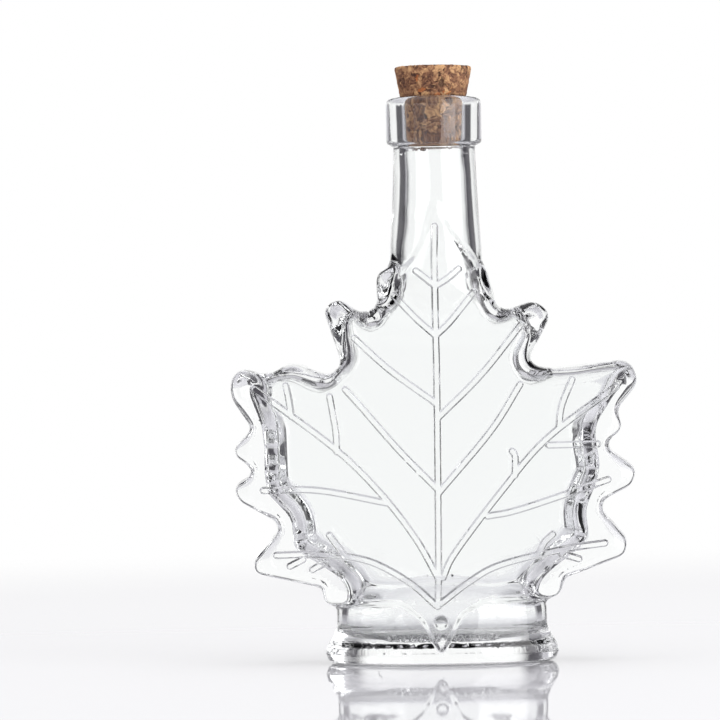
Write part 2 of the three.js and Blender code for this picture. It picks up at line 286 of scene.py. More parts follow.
# Low relief in millimetres.
EDGE_CROWN = 0.7
NECKWARD_LEAN = 2.2
UNDERSIDE_RISE = 0.9
RIDGE_HEIGHT = 0.35
STREAK_DEPTH = 0.1
BEAD_DEPTH = 0.35
RIPPLE_DEPTH = 0.03
STEP_BEHIND_TIP = 0.45

CORK_SECTION = [
    (0, 126.4),
    (6.4, 126.4),
    (6.75, 126.8),
    (6.95, 132),
    (7.12, 135.4),
    (7.45, 136.9),
    (8.2, 137.7),
    (9.4, 144.1),
    (9.35, 144.6),
    (9.0, 144.8),
    (0, 144.9),
]


class BottleSizes(bpy.types.PropertyGroup):
    """Sizes of the glass that a maker would change."""

    half_depth: bpy.props.FloatProperty(
        name="Half depth",
        description="Half of the leaf body's thickness in millimetres",
        default=13.8,
    )
    wall: bpy.props.FloatProperty(
        name="Wall",
        description="Thickness of the front and back glass in millimetres",
        default=2.8,
    )
    vein_height: bpy.props.FloatProperty(
        name="Vein height",
        description="How far the veins stand out of the front in millimetres",
        default=0.92,
    )
    vein_width: bpy.props.FloatProperty(
        name="Vein width",
        description="Half of a vein's width at its foot in millimetres",
        default=0.9,
    )
    vein_top: bpy.props.FloatProperty(
        name="Vein top",
        description="Half of the width of a vein's level top in millimetres",
        default=0.46,
    )
    voxel: bpy.props.FloatProperty(
        name="Mesh step",
        description="Step of the first glass mesh in millimetres",
        default=0.75,
        min=0.3,
    )
    index_of_refraction: bpy.props.FloatProperty(
        name="Refraction",
        description="Index of refraction of the glass",
        default=1.5,
    )


class CorkLooks(bpy.types.PropertyGroup):
    """Colours and grain of the cork."""

    chip_count: bpy.props.IntProperty(
        name="Chips",
        description="How many pressed chips make up the cork",
        default=1400,
    )
    light_chip: bpy.props.FloatVectorProperty(
        name="Light chip",
        description="Colour of the palest chips",
        subtype="COLOR",
        default=(0.63, 0.365, 0.175),
    )
    dark_chip: bpy.props.FloatVectorProperty(
        name="Dark chip",
        description="Colour of the bark chips",
        subtype="COLOR",
        default=(0.085, 0.035, 0.022),
    )


class StudioLooks(bpy.types.PropertyGroup):
    """The table, the light and the camera."""

    backdrop: bpy.props.FloatProperty(
        name="Backdrop",
        description="Brightness of the backdrop behind the bottle",
        default=1.0,
    )
    ground: bpy.props.FloatVectorProperty(
        name="Ground",
        description="Colour of the room below the table's level",
        subtype="COLOR",
        default=(0.5, 0.495, 0.52),
    )
    side_panels: bpy.props.FloatVectorProperty(
        name="Side panels",
        description="Colour of the room to the left, to the right and behind the camera",
        subtype="COLOR",
        default=(0.56, 0.55, 0.59),
    )
    gaps: bpy.props.FloatVectorProperty(
        name="Gaps",
        description="Colour of the dim gaps between the panels",
        subtype="COLOR",
        default=(0.055, 0.052, 0.062),
    )
    distance: bpy.props.FloatProperty(
        name="Camera distance",
        description="Distance from the camera to the bottle's axis",
        default=1.0,
        unit="LENGTH",
    )


class Wire:
    """A shader output on which Python maths adds Math nodes."""

    def __init__(self, shader, socket):
        self.shader = shader
        self.socket = socket

    def _math(self, operation, first, second):
        return self.shader.node("ShaderNodeMath", {"operation": operation}, {0: first, 1: second})

    def __add__(self, other):
        return self._math("ADD", self, other)

    def __radd__(self, other):
        return self._math("ADD", other, self)

    def __sub__(self, other):
        return self._math("SUBTRACT", self, other)

    def __rsub__(self, other):
        return self._math("SUBTRACT", other, self)

    def __mul__(self, other):
        return self._math("MULTIPLY", self, other)

    def __rmul__(self, other):
        return self._math("MULTIPLY", other, self)

    def __gt__(self, other):
        return self._math("GREATER_THAN", self, other)

    def __lt__(self, other):
        return self._math("LESS_THAN", self, other)


class Shader:
    """The nodes of one material or of the world."""

    def __init__(self, tree):
        self.tree = tree
        tree.nodes.clear()

    def node(self, kind, settings=None, sockets=None, output=0):
        """Add a node, set it up, link or fill its sockets and give back one of its outputs."""
        made = self.tree.nodes.new(kind)
        for name, value in (settings or {}).items():
            if name == "stops":
                self._set_stops(made.color_ramp, value)
            else:
                setattr(made, name, value)
        for name, value in (sockets or {}).items():
            if isinstance(value, Wire):
                self.tree.links.new(value.socket, made.inputs[name])
            else:
                made.inputs[name].default_value = value
        return Wire(self, made.outputs[output]) if len(made.outputs) else made

    @staticmethod
    def _set_stops(ramp, stops):
        while len(ramp.elements) < len(stops):
            ramp.elements.new(0.5)
        for element, (position, colour) in zip(ramp.elements, stops):
            element.position = position
            element.color = (*colour, 1.0)


def new_material(name):
    """A material with an empty shader, ready to be filled."""
    material = bpy.data.materials.new(name)
    material.use_nodes = True
    return material, Shader(material.node_tree)


def rounded_loop(corners, arc_steps=10):
    """Points of a closed outline whose corners are rounded by arcs."""
    points = []
    count = len(corners)
    for i, (cx, cz, radius) in enumerate(corners):
        corner = np.array((cx, cz))
        back = np.array(corners[i - 1][:2]) - corner
        ahead = np.array(corners[(i + 1) % count][:2]) - corner
        room = min(np.hypot(*back), np.hypot(*ahead)) / 2
        back = back / np.hypot(*back)
        ahead = ahead / np.hypot(*ahead)
        half = math.acos(float(np.clip(back @ ahead, -1, 1))) / 2
        reach = min(radius / math.tan(half), room)
        middle = (back + ahead) / np.hypot(*(back + ahead))
        centre = corner + middle * math.hypot(reach, reach * math.tan(half))
        start = math.atan2(*(corner + back * reach - centre)[::-1])
        end = math.atan2(*(corner + ahead * reach - centre)[::-1])
        turn = (end - start + math.pi) % (2 * math.pi) - math.pi
        for k in range(arc_steps + 1):
            angle = start + turn * k / arc_steps
            swing = np.array((math.cos(angle), math.sin(angle)))
            points.append(centre + reach * math.tan(half) * swing)
    return np.array(points)


def smooth_line(points, step=0.5):
    """Points along a Catmull-Rom curve through the given ones."""
    given = np.array(points, float)
    ends = np.vstack([2 * given[0] - given[1], given, 2 * given[-1] - given[-2]])
    line = [given[0]]
    for a, b, c, d in zip(ends, ends[1:], ends[2:], ends[3:]):
        pieces = max(1, int(np.hypot(*(c - b)) / step))
        for k in range(1, pieces + 1):
            t = k / pieces
            line.append(
                0.5
                * (
                    2 * b
                    + (c - a) * t
                    + (2 * a - 5 * b + 4 * c - d) * t**2
                    + (3 * b - a - 3 * c + d) * t**3
                )
            )
    return np.array(line)


class Chart:
    """A flat grid of values that can be read smoothly anywhere."""

    def __init__(self, low, high, step):
        self.low = np.array(low, float)
        self.step = step
        self.first = np.arange(low[0], high[0] + step, step)
        self.second = np.arange(low[1], high[1] + step, step)
        self.values = np.zeros((len(self.first), len(self.second)), np.float32)

    def fill_distance(self, loop):
        """Store the distance to a loop, negative inside it."""
        x, z = np.meshgrid(self.first, self.second, indexing="ij")
        x = x.astype(np.float32)
        z = z.astype(np.float32)
        best = np.full(x.shape, 1e9, np.float32)
        inside = np.zeros(x.shape, bool)
        for (ax, az), (bx, bz) in zip(loop, np.roll(loop, -1, axis=0)):
            ex, ez = float(bx - ax), float(bz - az)
            length = ex * ex + ez * ez
            if length < 1e-12:
                continue
            dx = x - np.float32(ax)
            dz = z - np.float32(az)
            t = np.clip((dx * ex + dz * ez) / length, 0, 1)
            best = np.minimum(best, (dx - t * ex) ** 2 + (dz - t * ez) ** 2)
            if az != bz:
                inside ^= ((az > z) != (bz > z)) & (dx < ex * dz / ez)
        self.values = np.where(inside, -1, 1).astype(np.float32) * np.sqrt(best)
        return self

    def copy(self):
        """The same chart, to be changed on its own."""
        twin = Chart(self.low, (self.first[-1], self.second[-1]), self.step)
        twin.values = np.pad(
            self.values, [(0, n - m) for n, m in zip(twin.values.shape, self.values.shape)], "edge"
        )
        return twin

    def soften(self, passes):
        """Blur the stored values a little, so that ridges between slopes turn round."""
        for _ in range(passes):
            for axis in (0, 1):
                padded = np.pad(self.values, [(1, 1) if a == axis else (0, 0) for a in (0, 1)], "edge")
                before = np.take(padded, range(self.values.shape[axis]), axis)
                after = np.take(padded, range(2, self.values.shape[axis] + 2), axis)
                self.values = 0.5 * self.values + 0.25 * (before + after)
        return self

    def read(self, first, second):
        """Values at any places, by cubic B-splines."""
        u = (first - self.low[0]) / self.step
        v = (second - self.low[1]) / self.step
        i = np.floor(u).astype(np.int32)
        j = np.floor(v).astype(np.int32)
        total = 0.0
        for a, wa in enumerate(spline_weights(u - i)):
            rows = np.clip(i + a - 1, 0, len(self.first) - 1)
            for b, wb in enumerate(spline_weights(v - j)):
                columns = np.clip(j + b - 1, 0, len(self.second) - 1)
                total = total + wa * wb * self.values[rows, columns]
        return total


def spline_weights(f):
    """The four cubic B-spline weights at a fraction of a step."""
    return (
        (1 - f) ** 3 / 6,
        (3 * f**3 - 6 * f**2 + 4) / 6,
        (-3 * f**3 + 3 * f**2 + 3 * f + 1) / 6,
        f**3 / 6,
    )


def blend_min(a, b, reach):
    """The lesser of two distances, with the corner between them filled in."""
    near = np.maximum(reach - np.abs(a - b), 0) / reach
    return np.minimum(a, b) - near * near * reach / 4


def blend_max(a, b, reach):
    """The greater of two distances, with the edge between them rounded."""
    return -blend_min(-a, -b, reach)


def smooth_step(value, low, high):
    """0 below one value, 1 above another, and a soft ramp between them."""
    t = np.clip((value - low) / (high - low), 0, 1)
    return t * t * (3 - 2 * t)


def rounded_slab(edge, y, half_depth, inset, shoulder):
    """Distance to a slab whose faces meet its outline in elliptic shoulders."""
    across = (edge + inset) / inset
    through = (np.abs(y) - (half_depth - shoulder)) / shoulder
    corner = np.hypot(np.maximum(across, 0), np.maximum(through, 0))
    return (corner - 1 + np.minimum(np.maximum(across, through), 0)) * shoulder


class GlassShape:
    """The bottle's glass as a field of distances, negative inside the glass."""

    def __init__(self, sizes):
        self.sizes = sizes
        low, high = (-56, -4), (54, 116)
        self.leaf = Chart(low, high, 0.3).fill_distance(rounded_loop(LEAF_CORNERS)).soften(8)
        self.soft_leaf = self.leaf.copy().soften(110)
        self.hollow = Chart(low, high, 0.3).fill_distance(rounded_loop(HOLLOW_CORNERS)).soften(34)
        self.tip = Chart((-16, 76), (16, 118), 0.3).fill_distance(rounded_loop(TIP_CORNERS)).soften(8)
        hollow_tip = rounded_loop(TIP_HOLLOW_CORNERS)
        self.tip_hollow = Chart((-16, 76), (16, 118), 0.3).fill_distance(hollow_tip).soften(6)
        self.skirt = Chart((-30, -2), (30, 26), 0.3).fill_distance(rounded_loop(SKIRT_CORNERS)).soften(4)
        self.neck = Chart((0, 70), (20, 146), 0.2).fill_distance(self.mirrored(NECK_SECTION)).soften(5)
        self.bore = Chart((0, 70), (20, 146), 0.2).fill_distance(self.mirrored(BORE_SECTION)).soften(6)
        self.foot = Chart((0, -6), (36, 32), 0.2).fill_distance(self.mirrored(FOOT_SECTION)).soften(6)
        self.well = Chart((0, -6), (36, 32), 0.2).fill_distance(self.mirrored(WELL_SECTION)).soften(12)
        self.veins = self.vein_chart()

    @staticmethod
    def mirrored(section):
        """A turned section made whole by its mirror image across the axis."""
        side = np.array(section, float)
        other = side[::-1] * (-1, 1)
        return np.vstack([side, other[1:-1]])

    @staticmethod
    def vein_chart():
        """Distance from the veins' centre lines, as far as two millimetres."""
        chart = Chart((-56, -4), (54, 116), 0.2)
        nearest = np.full(chart.values.shape, 2.0, np.float32)
        for vein in VEINS:
            line = smooth_line(vein)
            for a, b in zip(line, line[1:]):
                lo = np.minimum(a, b) - 2
                hi = np.maximum(a, b) + 2
                i = slice(*np.searchsorted(chart.first, (lo[0], hi[0])))
                j = slice(*np.searchsorted(chart.second, (lo[1], hi[1])))
                x = chart.first[i][:, None] - a[0]
                z = chart.second[j][None, :] - a[1]
                e = b - a
                t = np.clip((x * e[0] + z * e[1]) / (e @ e), 0, 1)
                distance = np.hypot(x - t * e[0], z - t * e[1])
                nearest[i, j] = np.minimum(nearest[i, j], distance)
        chart.values = nearest
        return chart

    def leaf_body(self, x, y, z):
        """Distance to the leaf: crowned edges, with deep shoulders along its upper side."""
        sizes = self.sizes
        lobe = smooth_step(np.abs(x), *FAR_LOBE)
        upper = smooth_step(z, 57 + 10 * lobe, 66 + 6 * lobe)
        inset = 1.7 + 3.0 * upper
        shoulder = 2.3 + 5.0 * upper
        edge = self.leaf.read(x, z)
        deep = smooth_step(-edge, 0.2, 3)
        crown = EDGE_CROWN * (y / sizes.half_depth) ** 2
        edge = edge + deep * (self.soft_leaf.read(x, z) - edge) + crown
        half_depth = sizes.half_depth - NECKWARD_LEAN * smooth_step(z, 77, 98)
        return rounded_slab(edge, y, half_depth, inset, shoulder)

    def oval_foot(self, x, y, z):
        """Distance to the foot, with the leaf's base hanging over its front."""
        oval = np.hypot(x, y / FOOT_FLATTENING)
        foot = self.foot.read(oval, z) * FOOT_FLATTENING
        hang = smooth_step(-self.skirt.read(x, z), 0, 1.4)
        foot = foot - np.where(y < 0, 1.0 * hang, 0)
        return blend_max(foot, self.underside(x, y, oval) - z, 0.4)

    @staticmethod
    def underside(x, y, oval):
        """Height of the foot's underside: pushed up in the middle, ringed by small ridges."""
        ring = smooth_step(oval, 18, 20) * (1 - smooth_step(oval, 24.5, 26.5))
        ridges = 0.5 + 0.5 * np.sin(60 * np.arctan2(y / FOOT_FLATTENING, x))
        return UNDERSIDE_RISE * (1 - smooth_step(oval, 13, 20)) + RIDGE_HEIGHT * ring * ridges

    def round_neck(self, x, y, z):
        """Distance to the neck and collar, with the leaf's tip raised on the neck's front."""
        neck = self.neck.read(np.hypot(x, y), z)
        heights, depths = zip(*TIP_RISE)
        depth = np.interp(z, heights, depths)
        raised = smooth_step(-self.tip.read(x, z), 0, 2.0) * smooth_step(-y, 1, 5)
        return neck - depth * raised

    def outer(self, x, y, z):
        """Distance to the outside of the glass."""
        whole = blend_min(self.leaf_body(x, y, z), self.round_neck(x, y, z), 2.5)
        whole = blend_min(whole, self.oval_foot(x, y, z), np.where(y < 0, 1.0, 2.5))
        knot_x, knot_y, knot_z = KNOT_PLACE
        knot = np.sqrt((x - knot_x) ** 2 + (y - knot_y) ** 2 + (z - knot_z) ** 2) - KNOT_RADIUS
        whole = blend_min(whole, knot, 0.6)
        return whole - smooth_step(-y, 6, 9) * self.vein_rise(x, z)

    def vein_rise(self, x, z):
        """How far the veins stand out: level tops between steep sides."""
        sizes = self.sizes
        side = smooth_step(-self.veins.read(x, z), -sizes.vein_width, -sizes.vein_top)
        return sizes.vein_height * side

    def leaf_hollow(self, x, y, z):
        """Distance to the leaf's hollow, with the streaks that blowing leaves in its sides."""
        sizes = self.sizes
        lobe = smooth_step(np.abs(x), *FAR_LOBE)
        upper = smooth_step(z, 57 + 9 * lobe, 67 + 4 * lobe)
        neckward = smooth_step(z, 85, 101)
        edge = self.hollow.read(x, z)
        half_depth = sizes.half_depth - sizes.wall - 2.7 * smooth_step(z, 82, 103)
        inset = 6.5 - 4.1 * upper + 5.6 * neckward
        shoulder = 10.4 - 6.4 * upper + 4.3 * neckward
        hollow = rounded_slab(edge, y, half_depth, inset, np.minimum(shoulder, half_depth))
        beside = smooth_step(np.abs(x), 22, 30) * (1 - upper) * smooth_step(edge, -7, -4)
        streaks = np.sin(2.3 * edge + 0.9 * np.sin(0.13 * z) + 0.4 * np.sin(0.4 * y))
        return hollow + STREAK_DEPTH * beside * streaks

    def foot_well(self, x, y, z):
        """Distance to the well in the foot, with beads along the front of its floor."""
        well = self.well.read(np.hypot(x, y / WELL_FLATTENING), z) * WELL_FLATTENING
        turn = np.arctan2(y / WELL_FLATTENING, x)
        beads = np.sin(63 * turn + 0.6 * np.sin(9 * turn)) * np.exp(-(((z - 5.2) / 1.0) ** 2))
        middle = smooth_step(-y, 4, 8) * (1 - smooth_step(np.abs(x), 11, 14))
        return well + BEAD_DEPTH * beads * middle

    def neck_bore(self, x, y, z):
        """Distance to the bore: a little off its axis low down, and rippled just below the collar."""
        shift = 0.22 * (1 - smooth_step(z, 118, 124))
        ripple = np.sin(4.2 * z) * np.exp(-(((z - 123.4) / 1.1) ** 2))
        return self.bore.read(np.hypot(x - shift, y), z) + RIPPLE_DEPTH * ripple

    def step_behind_tip(self, x, y, z):
        """How far the hollow steps forward behind the leaf's tip, fading out at its left."""
        width = 0.5 + 0.8 * smooth_step(-x, -1, 2)
        behind = -self.tip_hollow.read(x, z)
        rise = smooth_step(behind, 0, width) * (1 - smooth_step(behind, 1.2, 5))
        rise = rise * smooth_step(z, 92, 98) * (1 - smooth_step(z, 101, 106))
        rise = rise * (1 - smooth_step(x, 4, 8)) * smooth_step(x, -6, 0)
        return STEP_BEHIND_TIP * rise * smooth_step(-y, 1, 4)

    def inner(self, x, y, z):
        """Distance to the room inside: the leaf's hollow, the foot's well and the bore."""
        room = blend_min(self.leaf_hollow(x, y, z), self.foot_well(x, y, z), 3.0)
        room = blend_min(room, self.neck_bore(x, y, z), 2.4)
        return room - self.step_behind_tip(x, y, z)

    def glass(self, x, y, z):
        """Distance to the glass itself."""
        return blend_max(self.outer(x, y, z), -self.inner(x, y, z), 0.5)

    def slope(self, points, reach=0.05):
        """Value and gradient of the field at points."""
        x, y, z = points.T
        value = self.glass(x, y, z)
        gradient = np.empty_like(points)
        for axis in range(3):
            move = np.zeros(3)
            move[axis] = reach
            ahead = self.glass(*(points + move).T)
            back = self.glass(*(points - move).T)
            gradient[:, axis] = (ahead - back) / (2 * reach)
        return value, gradient

    def settle(self, points, step, rounds):
        """Move points onto the surface, and give back their places and normals."""
        for _ in range(rounds):
            value, gradient = self.slope(points)
            squared = np.maximum((gradient**2).sum(axis=1), 0.05)
            move = gradient * (value / squared)[:, None]
            size = np.linalg.norm(move, axis=1, keepdims=True)
            points = points - move * np.minimum(1, step / np.maximum(size, 1e-9))
        gradient = self.slope(points)[1]
        return points, gradient / np.maximum(np.linalg.norm(gradient, axis=1, keepdims=True), 1e-9)


def split_triangles(triangles, middles):
    """Split each triangle at those of its sides that have a middle point, -1 where none has."""
    a, b, c = triangles.T
    ab, bc, ca = middles.T
    code = (ab >= 0) + 2 * (bc >= 0) + 4 * (ca >= 0)
    made = [triangles[code == 0]]
    for turn, (one, two) in enumerate([(1, 3), (2, 6), (4, 5)]):
        p, q, r = np.roll((a, b, c), -turn, axis=0)
        pq, qr = np.roll((ab, bc, ca), -turn, axis=0)[:2]
        pick = code == one
        made.append(np.c_[p, pq, r][pick])
        made.append(np.c_[pq, q, r][pick])
        pick = code == two
        made.append(np.c_[p, pq, r][pick])
        made.append(np.c_[pq, qr, r][pick])
        made.append(np.c_[pq, q, qr][pick])
    pick = code == 7
    made.extend(corner[pick] for corner in (np.c_[a, ab, ca], np.c_[ab, b, bc], np.c_[ca, bc, c]))
    made.append(np.c_[ab, bc, ca][pick])
    return np.vstack(made)


def refine(shape, points, normals, triangles, finest, bend):
    """Halve the sides of triangles that bend too much, or that lie beside a vein."""
    sides = np.sort(triangles[:, [0, 1, 1, 2, 2, 0]].reshape(-1, 2), axis=1)
    sides, which = np.unique(sides, axis=0, return_inverse=True)
    first, second = points[sides[:, 0]], points[sides[:, 1]]
    length = np.linalg.norm(first - second, axis=1)
    turn = (normals[sides[:, 0]] * normals[sides[:, 1]]).sum(axis=1)
    middle = (first + second) / 2
    by_vein = (middle[:, 1] < -9) & (shape.veins.read(middle[:, 0], middle[:, 2]) < 1.1)
    chosen = (length > finest) & ((turn < math.cos(bend)) | by_vein)
    places = np.full(len(sides), -1)
    places[chosen] = len(points) + np.arange(chosen.sum())
    added, added_normals = shape.settle(middle[chosen], 0.3, 4)
    triangles = split_triangles(triangles, places[which.reshape(-1, 3)])
    return np.vstack([points, added]), np.vstack([normals, added_normals]), triangles


def glass_mesh(sizes):
    """The glass as one closed mesh with the field's own normals."""
    shape = GlassShape(sizes)
    low = np.array((-53.0, -18.5, -1.5))
    high = np.array((51.0, 18.0, 139.0))
    step = sizes.voxel
    xs, ys, zs = (np.arange(a, b, step) for a, b in zip(low, high))
    x, y = np.meshgrid(xs, ys, indexing="ij")
    values = np.empty((len(xs), len(ys), len(zs)), np.float32)
    for k, z in enumerate(zs):
        values[:, :, k] = shape.glass(x, y, np.full(x.shape, z))
    grid = openvdb.FloatGrid(3.0)
    grid.copyFromArray(np.clip(values, -3, 3))
    points, triangles, quads = grid.convertToPolygons(isovalue=0.0, adaptivity=0.01)
    triangles = np.vstack([triangles, quads[:, [0, 1, 2]], quads[:, [0, 2, 3]]]).astype(int)
    points = points.astype(float) * step + low
    points, normals = shape.settle(points, 0.4 * step, 6)
    corners = points[triangles[0]]
    if np.cross(corners[1] - corners[0], corners[2] - corners[0]) @ normals[triangles[0, 0]] < 0:
        triangles = triangles[:, ::-1]
    for finest in (0.4, 0.4, 0.24):
        points, normals, triangles = refine(shape, points, normals, triangles, finest, math.radians(11))
    mesh = bpy.data.meshes.new("glass")
    mesh.from_pydata((points * MM).tolist(), [], triangles.tolist())
    mesh.update()
    mesh.validate()
    mesh.polygons.foreach_set("use_smooth", [True] * len(mesh.polygons))
    mesh.normals_split_custom_set_from_vertices(normals.tolist())
    return mesh


def glass_material(sizes):
    """Clear, slightly uneven pressed glass."""
    material, shader = new_material("clear_glass")
    place = shader.node("ShaderNodeTexCoord", output="Object")
    waves = shader.node(
        "ShaderNodeTexNoise",
        {"noise_dimensions": "3D"},
        {"Vector": place, "Scale": 90.0, "Detail": 2.0, "Roughness": 0.5},
        "Fac",
    )
    height = shader.node("ShaderNodeSeparateXYZ", {}, {"Vector": place}, "Z")
    grit = shader.node("ShaderNodeTexNoise", {}, {"Vector": place, "Scale": 1300.0, "Detail": 1.0}, "Fac")
    stipple = grit * (height < 0.0012) * 2.5
    uneven = shader.node(
        "ShaderNodeBump", {}, {"Strength": 0.03, "Distance": 0.002, "Height": waves + stipple}
    )
    glass = shader.node(
        "ShaderNodeBsdfPrincipled",
        {},
        {
            "Base Color": (0.99, 1.0, 0.995, 1.0),
            "Roughness": 0.0,
            "IOR": sizes.index_of_refraction,
            "Transmission Weight": 1.0,
            "Normal": uneven,
        },
    )
    shader.node("ShaderNodeOutputMaterial", {}, {"Surface": glass})
    return material


class LEAFBOTTLE_OT_glass(bpy.types.Operator):
    """Build the glass: leaf body, neck, collar, foot and veins in one piece"""

    bl_idname = "leafbottle.glass"
    bl_label = "Build glass"

    def execute(self, context):
        sizes = context.scene.leafbottle_sizes
        mesh = glass_mesh(sizes)
        bottle = bpy.data.objects.new("leaf_bottle_glass", mesh)
        context.collection.objects.link(bottle)
        mesh.materials.append(glass_material(sizes))
        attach(bottle, "root")
        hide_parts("bottle")
        return {"FINISHED"}


def cork_profile():
    """The cork's side as evenly spaced (radius, z) points."""
    given = np.array(CORK_SECTION, float)
    length = np.r_[0, np.cumsum(np.hypot(*np.diff(given, axis=0).T))]
    along = np.linspace(0, length[-1], 150)
    return np.c_[np.interp(along, length, given[:, 0]), np.interp(along, length, given[:, 1])]


def chip_distances(points, seeds):
    """Distance to the nearest seed and to the next one, and which seed is nearest."""
    nearest = np.empty(len(points))
    second = np.empty(len(points))
    owner = np.empty(len(points), int)
    for start in range(0, len(points), 2000):
        block = points[start : start + 2000]
        distance = np.linalg.norm(block[:, None, :] - seeds[None, :, :], axis=2)
        order = np.argpartition(distance, 2, axis=1)[:, :2]
        pair = np.take_along_axis(distance, order, axis=1)
        swap = pair[:, 0] > pair[:, 1]
        nearest[start : start + 2000] = pair.min(axis=1)
        second[start : start + 2000] = pair.max(axis=1)
        owner[start : start + 2000] = np.where(swap, order[:, 1], order[:, 0])
    return nearest, second, owner


def drift(points, rng, length, reach):
    """A smooth random shift for each point, with waves of about the given length."""
    shift = np.zeros_like(points)
    for direction in rng.normal(size=(9, 3)):
        direction = direction / np.linalg.norm(direction)
        turns = points @ direction / (length * rng.uniform(0.7, 1.4))
        shift += np.sin(2 * math.pi * (turns[:, None] + rng.uniform(0, 1, 3)))
    return reach * shift / 3


def cork_mesh(looks):
    """A tapered cork of pressed chips, each with its own layers, with cracks and pits between them."""
    profile = cork_profile()
    turns = 300
    angles = np.arange(turns) / turns * 2 * math.pi
    rows = profile[1:-1]
    points = np.array(
        [(r * math.cos(a), r * math.sin(a), z) for r, z in rows for a in angles]
        + [(0, 0, profile[0][1]), (0, 0, profile[-1][1])]
    )
    rng = np.random.default_rng(11)
    count = looks.chip_count
    seeds = rng.uniform((-10, -10, 125), (10, 10, 146), (count, 3))
    bent = points + drift(points, rng, 2.6, 0.55) + drift(points, rng, 1.1, 0.16)
    stretch = np.array((1, 1, 1.35))
    nearest, second, owner = chip_distances(bent * stretch, seeds * stretch)
    gap = smooth_step(-(second - nearest), -0.2, -0.02)
    loose = rng.uniform(0, 1, count)
    crack = gap * smooth_step(loose[owner], 0.35, 0.6)
    across = rng.normal(size=(count, 3)) * (0.6, 0.6, 1.0)
    across = across / np.linalg.norm(across, axis=1, keepdims=True)
    spacing = rng.uniform(0.55, 0.95, count)
    along = (bent * across[owner]).sum(axis=1) / spacing[owner]
    layers = np.sin(2 * math.pi * (along + rng.uniform(0, 1, count)[owner]))
    missing = (rng.uniform(0, 1, count) < 0.05)[owner]
    depth = 0.2 * crack + 0.05 * (1 - layers) - rng.uniform(-0.12, 0.0, count)[owner]
    depth = depth + np.where(missing, 0.35 * (1 - gap), 0)
    middle_height = 135.5
    inward = points * (1, 1, 0)
    length = np.linalg.norm(inward, axis=1, keepdims=True)
    inward = inward / np.maximum(length, 1e-6)
    cap = (points[:, 2] > 144.7) | (points[:, 2] < 126.5)
    direction = np.where(cap[:, None], np.sign(points[:, 2] - middle_height)[:, None] * (0, 0, 1), inward)
    points = points - direction * depth[:, None]
    faces = []
    for row in range(len(rows) - 1):
        for k in range(turns):
            a = row * turns + k
            b = row * turns + (k + 1) % turns
            faces.append((a, b, b + turns, a + turns))
    bottom, top = len(points) - 2, len(points) - 1
    last = (len(rows) - 1) * turns
    for k in range(turns):
        faces.append((bottom, (k + 1) % turns, k))
        faces.append((top, last + k, last + (k + 1) % turns))
    mesh = bpy.data.meshes.new("cork")
    mesh.from_pydata((points * MM).tolist(), [], faces)
    tone = rng.uniform(0, 1, count)[owner] * 0.62 + 0.19 + 0.17 * layers
    # The crack value sinks the cracks into the mesh and also marks where shade is painted dark: along the
    # cracks, and at 0.85 in the pits of missing chips.
    values = {
        "tone": tone,
        "crack": np.where(missing, 0.85, crack),
        "rust": (rng.uniform(0, 1, count) < 0.04)[owner].astype(float),
    }
    for name, value in values.items():
        mesh.attributes.new(name, "FLOAT", "POINT").data.foreach_set("value", value)
    mesh.update()
    mesh.polygons.foreach_set("use_smooth", [True] * len(mesh.polygons))
    return mesh


def cork_material(looks):
    """Pressed cork chips in tan to bark brown, with shade painted near black into their cracks and the pits
    of missing chips.
    """
    material, shader = new_material("cork")
    place = shader.node("ShaderNodeTexCoord", output="Object")
    tone, crack, rust = (
        shader.node("ShaderNodeAttribute", {"attribute_name": name}, output="Fac")
        for name in ("tone", "crack", "rust")
    )
    grain = shader.node(
        "ShaderNodeTexNoise", {}, {"Vector": place, "Scale": 1500.0, "Detail": 5.0, "Roughness": 0.7}, "Fac"
    )
    blotch = shader.node(
        "ShaderNodeTexNoise", {}, {"Vector": place, "Scale": 420.0, "Detail": 3.0, "Distortion": 1.6}, "Fac"
    )
    light = tuple(looks.light_chip)
    dark = tuple(looks.dark_chip)
    colour = shader.node(
        "ShaderNodeValToRGB",
        {"stops": [(0.08, dark), (0.3, (0.21, 0.092, 0.048)), (0.55, (0.36, 0.18, 0.09)), (0.86, light)]},
        {"Fac": tone + (blotch - 0.5) * 0.75 + (grain - 0.5) * 0.55},
        "Color",
    )
    rusty = shader.node(
        "ShaderNodeMix",
        {"data_type": "RGBA"},
        {0: rust * 0.7, 6: colour, 7: (0.5, 0.15, 0.04, 1.0)},
        2,
    )
    # Painted shade: cracks and pits are coloured near black, as if in shadow.
    painted_crack_shade_colour = shader.node(
        "ShaderNodeMix",
        {"data_type": "RGBA"},
        {0: crack * 0.85, 6: rusty, 7: (0.035, 0.013, 0.009, 1.0)},
        2,
    )
    bump = shader.node(
        "ShaderNodeBump", {}, {"Strength": 0.7, "Distance": 0.0003, "Height": grain + blotch * 1.5}
    )
    surface = shader.node(
        "ShaderNodeBsdfPrincipled",
        {},
        {"Base Color": painted_crack_shade_colour, "Roughness": 0.8, "Normal": bump},
    )
    shader.node("ShaderNodeOutputMaterial", {}, {"Surface": surface})
    return material


class LEAFBOTTLE_OT_cork(bpy.types.Operator):
    """Build the tapered cork"""

    bl_idname = "leafbottle.cork"
    bl_label = "Build cork"

    def execute(self, context):
        looks = context.scene.leafbottle_cork
        mesh = cork_mesh(looks)
        cork = bpy.data.objects.new("tapered_cork", mesh)
        context.collection.objects.link(cork)
        mesh.materials.append(cork_material(looks))
        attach(cork, "root")
        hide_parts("cork")
        return {"FINISHED"}


